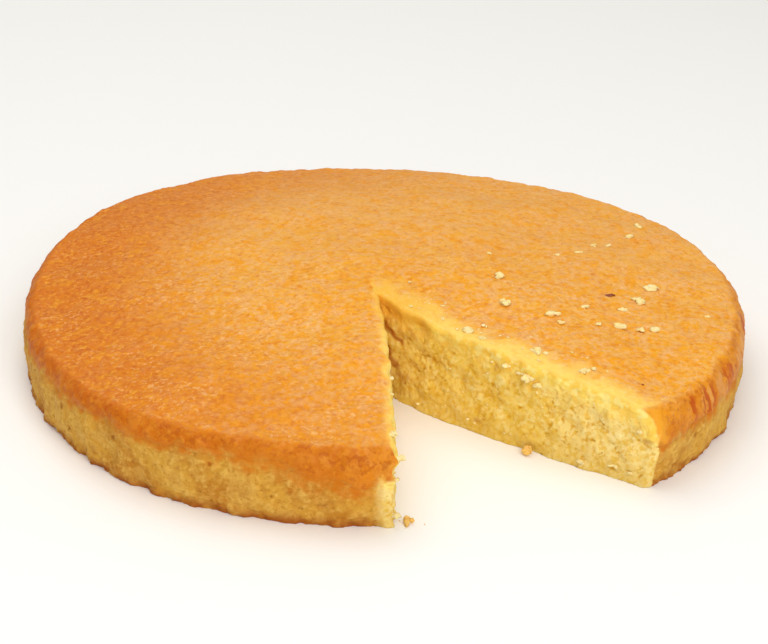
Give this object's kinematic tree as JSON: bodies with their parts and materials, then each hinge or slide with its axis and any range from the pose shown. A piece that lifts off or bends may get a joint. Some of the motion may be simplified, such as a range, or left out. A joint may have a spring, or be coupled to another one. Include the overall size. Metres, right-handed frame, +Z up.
{
  "type": "lemon cake",
  "caption": "Low round sponge cake with a browned domed top, pale crumb and one slice cut out of it.",
  "frame": {"origin": "middle of the flat underside of the whole round cake", "axes": "+Z up; the missing slice opens towards -Y and +X, its left face nearly along -Y"},
  "size_m": [0.2397, 0.2367, 0.0349],
  "materials": {
    "cake": "golden-brown baked crust, slightly moist, over pale yellow open crumb on the cut faces and the lower side"
  },
  "bodies": {
    "root": {"lemon_cake": "cake"}
  },
  "joints": []
}
